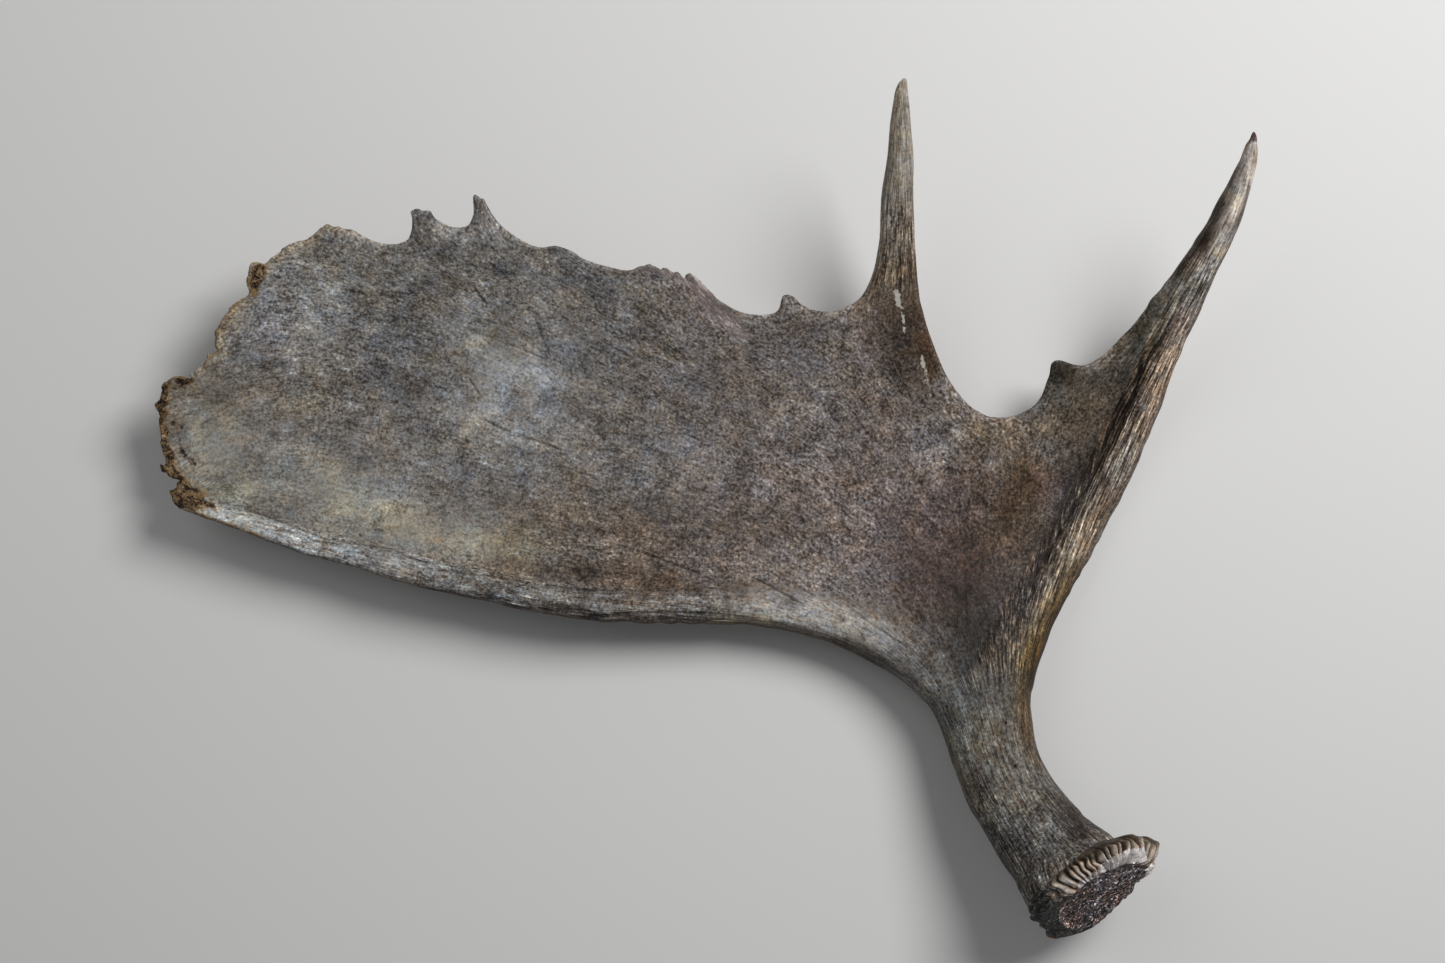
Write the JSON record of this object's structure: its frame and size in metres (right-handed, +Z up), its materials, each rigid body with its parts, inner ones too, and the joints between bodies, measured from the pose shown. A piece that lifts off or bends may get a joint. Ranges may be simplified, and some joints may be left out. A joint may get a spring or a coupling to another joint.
{
  "type": "moose antler",
  "caption": "Shed moose antler lying dish side up: short beam with a burr, broad dished palm with worn points, a long front tine and a curved brow palm.",
  "frame": {"origin": "centre of the bounding box, on the surface the antler lies on", "axes": "+Z up, out of the palm's dish; +X from the palm's outer end towards the brow tine and the burr; +Y towards the tips of the long tine and the brow tine, away from the burr"},
  "size_m": [0.6479, 0.4932, 0.1338],
  "materials": {
    "beam_bone": "matte",
    "palm_bone": "matte",
    "tine_bone": "satin",
    "brow_bone": "matte"
  },
  "bodies": {
    "root": {"beam": "beam_bone", "main_palm": "palm_bone", "long_tine": "tine_bone", "brow_palm": "brow_bone"}
  },
  "joints": []
}
